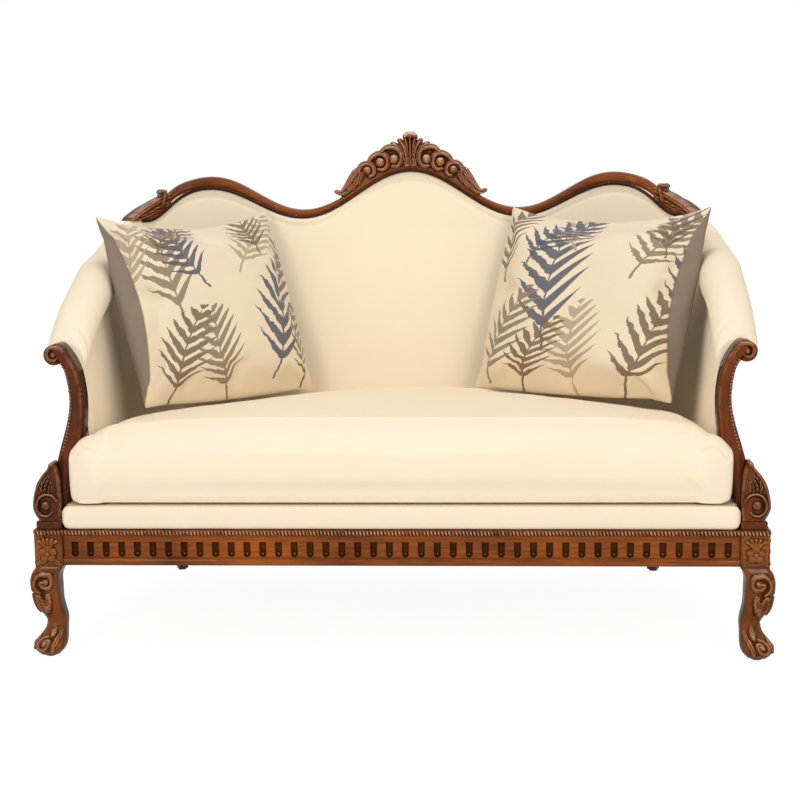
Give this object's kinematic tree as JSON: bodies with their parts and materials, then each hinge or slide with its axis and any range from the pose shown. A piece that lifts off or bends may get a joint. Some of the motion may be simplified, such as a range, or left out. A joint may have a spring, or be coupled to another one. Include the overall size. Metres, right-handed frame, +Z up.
{
  "type": "settee",
  "caption": "Upholstered settee with a carved show-wood frame, serpentine top rail and crest, scrolled arms, cabriole front legs, a loose seat cushion and scatter pillows.",
  "frame": {"origin": "on the floor under the middle of the settee's overall length and depth", "axes": "+X to the right along the seat as a viewer in front sees it, +Y from the front to the back, +Z up"},
  "size_m": [1.6028, 0.7875, 1.14],
  "materials": {
    "carved_walnut": "polished",
    "frame_wood": "raw",
    "cream_velvet": "short pile",
    "cushion_filling": "foam and fibre",
    "printed_linen": "woven print",
    "taupe_linen": "woven",
    "jute_webbing": "woven",
    "lining_cloth": "matt",
    "bolt_steel": "zinc plated",
    "glide_plastic": "matt"
  },
  "bodies": {
    "frame": {"arm_beads_left": "carved_walnut", "arm_beads_right": "carved_walnut", "arm_console_left": "carved_walnut", "arm_console_right": "carved_walnut", "arm_roll_left": "frame_wood", "arm_roll_right": "frame_wood", "arm_stump_left": "carved_walnut", "arm_stump_right": "carved_walnut", "arm_upright_left": "frame_wood", "arm_upright_right": "frame_wood", "back_post_left": "frame_wood", "back_post_right": "frame_wood", "back_rail": "carved_walnut", "back_slats": "frame_wood", "back_webbing": "jute_webbing", "bead_strip_front": "carved_walnut", "bead_strip_left": "carved_walnut", "bead_strip_right": "carved_walnut", "corner_blocks": "frame_wood", "corner_rail_left": "carved_walnut", "corner_rail_right": "carved_walnut", "crest": "carved_walnut", "dust_cover": "lining_cloth", "feet_glides": "glide_plastic", "front_leg_left": "carved_walnut", "front_leg_right": "carved_walnut", "front_rail": "carved_walnut", "inside_arm_left": "cream_velvet", "inside_arm_right": "cream_velvet", "inside_back": "cream_velvet", "outside_arm_left": "cream_velvet", "outside_arm_right": "cream_velvet", "outside_back": "cream_velvet", "rail_dowels": "frame_wood", "rail_leaf_left": "carved_walnut", "rail_leaf_right": "carved_walnut", "rear_leg_bolts": "bolt_steel", "rear_leg_left": "carved_walnut", "rear_leg_right": "carved_walnut", "rosettes": "carved_walnut", "seat_braces": "frame_wood", "seat_deck": "cream_velvet", "seat_webbing_crosswise": "jute_webbing", "seat_webbing_lengthwise": "jute_webbing", "side_rail_left": "carved_walnut", "side_rail_right": "carved_walnut", "top_rail": "carved_walnut"},
    "seat_cushion": {"seat_cushion_core": "cushion_filling", "seat_cushion_cover_bottom": "cream_velvet", "seat_cushion_cover_top": "cream_velvet"},
    "pillow_left": {"pillow_left_back": "taupe_linen", "pillow_left_front": "printed_linen", "pillow_left_insert": "cushion_filling"},
    "pillow_right": {"pillow_right_back": "taupe_linen", "pillow_right_front": "printed_linen", "pillow_right_insert": "cushion_filling"}
  },
  "joints": [
    {"name": "cushion_lift", "type": "slide", "parent": "frame", "child": "seat_cushion", "axis": [0, 0, 1], "range_m": [0, 0.3]},
    {"name": "pillow_left_lift", "type": "slide", "parent": "seat_cushion", "child": "pillow_left", "axis": [0, 0, 1], "range_m": [0, 0.4]},
    {"name": "pillow_right_lift", "type": "slide", "parent": "seat_cushion", "child": "pillow_right", "axis": [0, 0, 1], "range_m": [0, 0.4]}
  ]
}
